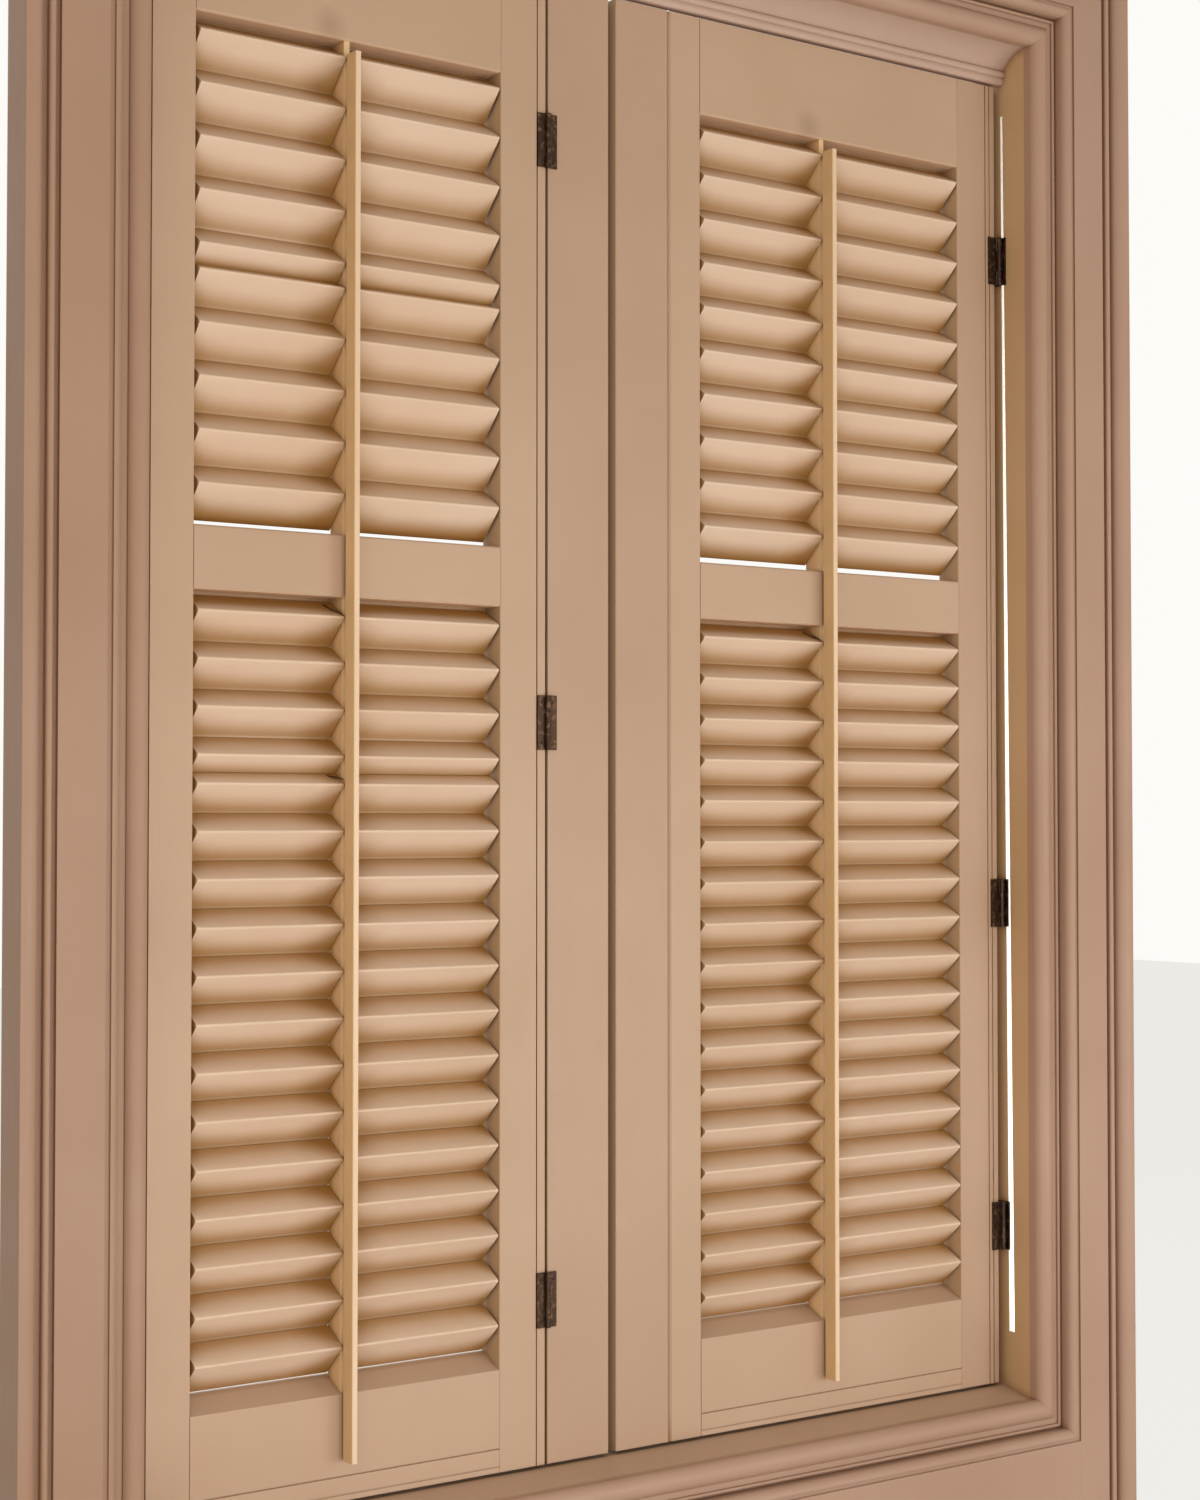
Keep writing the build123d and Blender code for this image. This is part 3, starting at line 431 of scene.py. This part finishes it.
def staple(name, body, x, edge, rise, length, metal):
    """Wires that lie along a louvre's upper face beside the centre stile.

    edge is the height of the louvre's front edge, and rise how far its face climbs from there to the back.
    """
    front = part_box("left_louvre_02")[0][1]
    data = bpy.data.curves.new(name, "CURVE")
    data.dimensions = "3D"
    data.bevel_depth = WIRE_RADIUS
    data.bevel_resolution = 3
    data.use_fill_caps = True
    for share in WIRE_SHARES:
        route = wire_route(length, share)
        spline = data.splines.new("POLY")
        spline.points.add(len(route) - 1)
        for point, (dx, dy, up) in zip(spline.points, route):
            point.co = (x + dx, front + dy, edge + rise * dy / LOUVRE_DEPTH + up, 1)
    data.materials.append(metal)
    obj = put(name, data)
    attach(obj, body)


def staples(metal):
    """Staples on the first louvres below the middle rails and on two narrow louvres of the left leaf."""
    left = middle_of("left_tilt_rod") - STAPLE_BESIDE_ROD
    right = middle_of("right_tilt_rod") - STAPLE_BESIDE_ROD
    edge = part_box("left_mid_rail")[0][2] + RAIL_LIP - LOUVRE_BELOW_LIP
    staple("staple_left_11", "left_louvre_11", left, edge, LOUVRE_RISE, WIRE_LENGTH, metal)
    staple("staple_right_11", "right_leaf", right, edge, LOUVRE_RISE, WIRE_LENGTH, metal)
    for louvre in ("left_louvre_06", "left_louvre_15"):
        name = louvre.replace("left_louvre", "staple_left")
        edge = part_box(louvre)[1][2] - NARROW_RISE
        staple(name, louvre, left, edge, NARROW_RISE, NARROW_WIRE_LENGTH, metal)


def lamp(name, place, target, size, power, colour=(1, 1, 1), lean=0.0):
    """Soft square-edged lamp that faces its target, tipped about X by lean."""
    data = bpy.data.lights.new(name, "AREA")
    data.shape = "RECTANGLE"
    data.size, data.size_y = size
    data.energy = power
    data.color = colour
    obj = put(name, data)
    obj.location = place
    turn = (Vector(target) - Vector(place)).to_track_quat("-Z", "Y")
    obj.rotation_euler = (Quaternion((1, 0, 0), lean) @ turn).to_euler()


def floor():
    height = cad_low.z - FLOOR_DROP
    corners = [(x * FLOOR_REACH, y * FLOOR_REACH, height) for x, y in ((-1, -1), (1, -1), (1, 1), (-1, 1))]
    mesh = bpy.data.meshes.new("floor")
    mesh.from_pydata(corners, [], [(0, 1, 2, 3)])
    mesh.materials.append(pale_floor())
    obj = put("floor", mesh)


def surroundings():
    """Soft warm light all round, seen as near white."""
    world = bpy.data.worlds.new("studio")
    bpy.context.scene.world = world
    n = Nodes(world)
    path = n.add("ShaderNodeLightPath", {}).outputs
    seen = n.calc("MAXIMUM", path["Is Camera Ray"], path["Is Glossy Ray"])
    seen = n.calc("MAXIMUM", seen, path["Is Transmission Ray"])
    ambient = n.add("ShaderNodeBackground", {"Color": AMBIENT, "Strength": 0.385}).outputs[0]
    white = n.add("ShaderNodeBackground", {"Color": BACKDROP, "Strength": 0.98}).outputs[0]
    n.add("ShaderNodeOutputWorld", {"Surface": n.mix_shaders(seen, ambient, white)})


def lamps():
    """Four studio lamps round the object, and the daylight behind the slots of the jambs."""
    middle = (0, 0, 1.0)
    lamp("key", (1.9, -3.0, 0.35), (0, 0, 0.8), (1.8, 1.8), 48, (1, 0.985, 0.97))
    lamp("low", (-0.6, -2.4, 0.15), (0, 0, 0.9), (2.0, 0.8), 25, (0.96, 1.0, 1.06))
    lamp("fill", (-2.8, -3.0, 1.5), middle, (2.5, 2.5), 32, (1, 0.87, 0.72))
    lamp("back", (0.5, 3.2, 2.2), middle, (2.5, 2.5), 30)
    low, high = slot_space()
    y, z = LEAF_FRONT - DAYLIGHT_BEFORE_LEAF, (low[2] + high[2]) / 2
    size = (DAYLIGHT_WIDTH, high[2] - low[2])
    for side, name in ((-1, "daylight_left"), (1, "daylight_right")):
        x = side * (high[0] + DAYLIGHT_GAP)
        lamp(name, (x, y, z), (0, y, z), size, DAYLIGHT_POWER, lean=DAYLIGHT_LEAN)


def camera():
    data = bpy.data.cameras.new("camera")
    data.lens = 60.0
    data.sensor_width = 36.0
    data.clip_end = 60.0
    obj = put("camera", data)
    obj.location = CAMERA_PLACE
    obj.rotation_euler = (CAMERA_TILT, 0, CAMERA_TURN)
    bpy.context.scene.camera = obj


hinge_metal = bronze()
dress(hinge_metal)
hinge_screws(hinge_metal)
staples(hinge_metal)
floor()
surroundings()
lamps()
camera()
bpy.context.scene.view_settings.view_transform = "Standard"

bpy.context.view_layer.update()
